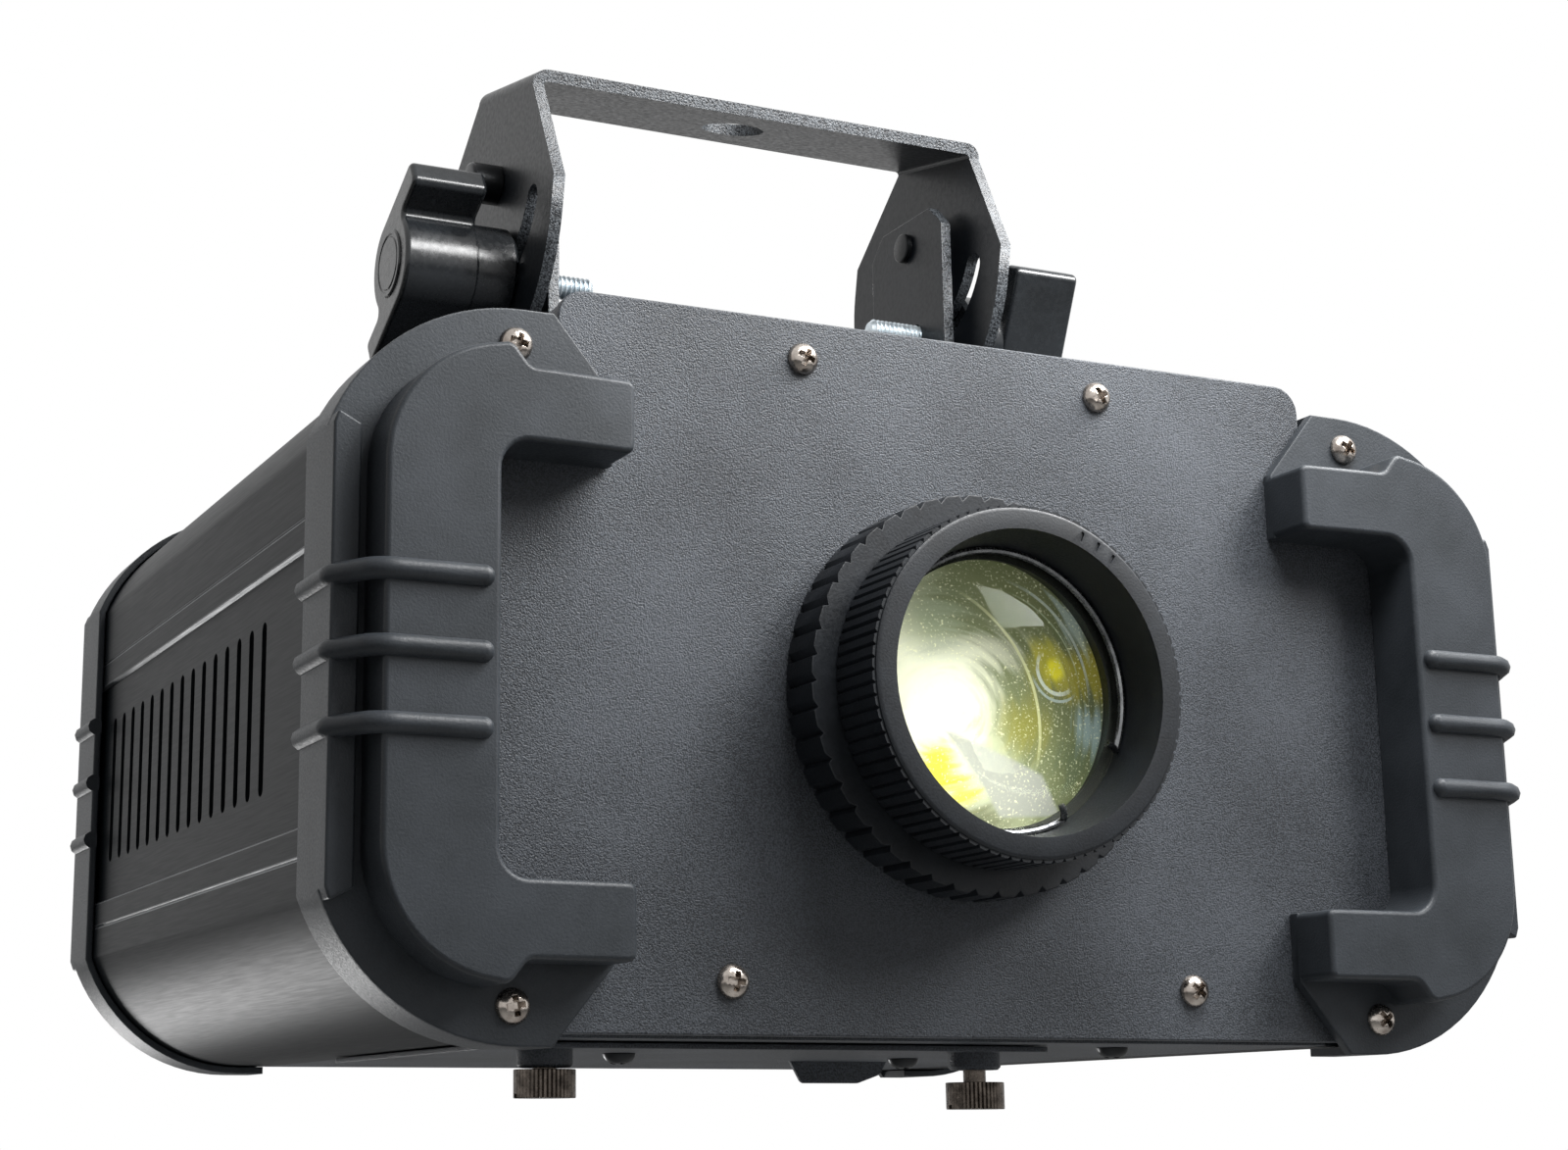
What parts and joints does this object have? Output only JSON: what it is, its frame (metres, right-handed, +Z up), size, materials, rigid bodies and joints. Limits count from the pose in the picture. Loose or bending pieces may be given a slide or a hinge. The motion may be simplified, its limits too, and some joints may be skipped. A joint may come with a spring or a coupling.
{
  "type": "gobo projector",
  "caption": "Compact gobo projector with a focusing lens, a rotating gobo stage, C-shaped corner guards and a slotted tilting yoke it hangs from",
  "frame": {"origin": "centre of the hanging hole, on the top face of the yoke", "axes": "+X to the right seen from the front, +Y to the rear, +Z up with the housing level"},
  "size_m": [0.2854, 0.2486, 0.2583],
  "materials": {
    "painted_steel": "semi-gloss black paint, worn on the edges",
    "black_bolt": "blackened steel",
    "plated_bolt": "bright zinc plating",
    "knob": "glossy black moulding",
    "extrusion": "satin black anodised extrusion",
    "textured_sheet": "sand-textured black powder coat",
    "guard": "satin black moulding",
    "screw": "bright nickel plating",
    "anodised": "black anodised",
    "lens_ring": "black moulding",
    "coated_glass": "coated glass with a yellow-green cast",
    "spring_wire": "spring steel wire",
    "bare_sheet": "zinc-coated sheet",
    "moulded_ring": "heat-resistant moulding",
    "etched_steel": "etched stainless sheet",
    "motor_case": "plated motor can",
    "roller": "rubber tyre",
    "turned_aluminium": "bare aluminium",
    "clear_glass": "clear glass",
    "led_board": "white solder mask over aluminium",
    "circuit_board": "green circuit board",
    "fan": "black moulding",
    "wire": "plated wire",
    "inlet": "black moulding",
    "rocker": "red rocker",
    "dial": "black moulding",
    "dark_nickel": "dark nickel plating"
  },
  "bodies": {
    "yoke_arm": {"yoke": "painted_steel"},
    "housing": {"ear_left": "painted_steel", "ear_right": "painted_steel", "pivot_bolt_left": "black_bolt", "pivot_bolt_right": "black_bolt", "side_left": "extrusion", "side_right": "extrusion", "front_panel": "textured_sheet", "rear_panel": "textured_sheet", "top_cover": "textured_sheet", "bottom_plate": "textured_sheet", "guard_front_left": "guard", "guard_front_right": "guard", "guard_rear_left": "guard", "guard_rear_right": "guard", "front_screw_1": "screw", "front_screw_2": "screw", "front_screw_3": "screw", "front_screw_4": "screw", "rear_screw_1": "screw", "rear_screw_2": "screw", "rear_screw_3": "screw", "rear_screw_4": "screw", "guard_screw_front_1": "screw", "guard_screw_front_2": "screw", "guard_screw_front_3": "screw", "guard_screw_front_4": "screw", "guard_screw_rear_1": "screw", "guard_screw_rear_2": "screw", "guard_screw_rear_3": "screw", "guard_screw_rear_4": "screw", "bottom_screw": "screw", "lens_mount": "anodised", "bulkhead": "bare_sheet", "gobo_motor": "motor_case", "condenser_cell": "turned_aluminium", "condenser_lens": "clear_glass", "led_board": "led_board", "heat_sink": "turned_aluminium", "power_board": "circuit_board", "fan_frame": "fan", "fan_guard": "wire", "power_inlet": "inlet"},
    "clamp_left": {"clamp_knob_left": "knob", "clamp_bolt_left": "plated_bolt"},
    "clamp_right": {"clamp_knob_right": "knob", "clamp_bolt_right": "plated_bolt"},
    "focus": {"focus_ring": "lens_ring"},
    "lens_cell": {"lens_barrel": "lens_ring", "front_lens": "coated_glass", "snap_ring": "spring_wire"},
    "gobo": {"gobo_holder": "moulded_ring", "gobo_disc": "etched_steel"},
    "roller": {"drive_roller": "roller"},
    "fan": {"fan_rotor": "fan"},
    "rocker": {"switch_rocker": "rocker"},
    "dial": {"speed_knob": "dial"},
    "hatch": {"access_cover": "textured_sheet"},
    "thumb_left": {"thumb_screw_left": "dark_nickel"},
    "thumb_right": {"thumb_screw_right": "dark_nickel"}
  },
  "joints": [
    {"name": "yoke_tilt", "type": "hinge", "parent": "yoke_arm", "child": "housing", "pos_m": [0, 0.00584, -0.02636], "axis": [1, 0, 0], "range_deg": [-55, 97]},
    {"name": "clamp_turn_left", "type": "hinge", "parent": "housing", "child": "clamp_left", "pos_m": [-0.08, 0.00204, -0.05216], "axis": [-1, 0, 0], "continuous": true},
    {"name": "clamp_turn_right", "type": "hinge", "parent": "housing", "child": "clamp_right", "pos_m": [0.08, 0.00204, -0.05216], "axis": [1, 0, 0], "continuous": true},
    {"name": "focus_turn", "type": "hinge", "parent": "housing", "child": "focus", "pos_m": [0, -0.10966, -0.17036], "axis": [0, -1, 0], "range_deg": [0, 270]},
    {"name": "lens_slide", "type": "slide", "parent": "housing", "child": "lens_cell", "axis": [0, -1, 0], "range_m": [0, 0.0121]},
    {"name": "gobo_spin", "type": "hinge", "parent": "housing", "child": "gobo", "pos_m": [0, -0.04166, -0.17036], "axis": [0, 1, 0], "continuous": true},
    {"name": "roller_spin", "type": "hinge", "parent": "housing", "child": "roller", "pos_m": [-0.02961, -0.04466, -0.14963], "axis": [0, 1, 0], "continuous": true},
    {"name": "fan_spin", "type": "hinge", "parent": "housing", "child": "fan", "pos_m": [0.032, 0.08534, -0.17036], "axis": [0, 1, 0], "continuous": true},
    {"name": "switch_rock", "type": "hinge", "parent": "housing", "child": "rocker", "pos_m": [-0.05, 0.10164, -0.18836], "axis": [0, 0, 1], "range_deg": [0, 16]},
    {"name": "speed_turn", "type": "hinge", "parent": "housing", "child": "dial", "pos_m": [-0.05, 0.10534, -0.14836], "axis": [0, 1, 0], "range_deg": [-135, 135]},
    {"name": "hatch_swing", "type": "hinge", "parent": "housing", "child": "hatch", "pos_m": [-0.035, 0.01934, -0.24121], "axis": [1, 0, 0], "range_deg": [0, 75]},
    {"name": "thumb_turn_left", "type": "hinge", "parent": "hatch", "child": "thumb_left", "pos_m": [-0.0865, -0.08366, -0.24636], "axis": [0, 0, -1], "continuous": true},
    {"name": "thumb_turn_right", "type": "hinge", "parent": "hatch", "child": "thumb_right", "pos_m": [0.0125, -0.08366, -0.24636], "axis": [0, 0, -1], "continuous": true}
  ],
  "couplings": [
    {"joint": "lens_slide", "follows": "focus_turn", "m_per_rad": 0.0025465},
    {"joint": "roller_spin", "follows": "gobo_spin", "ratio": -3}
  ]
}
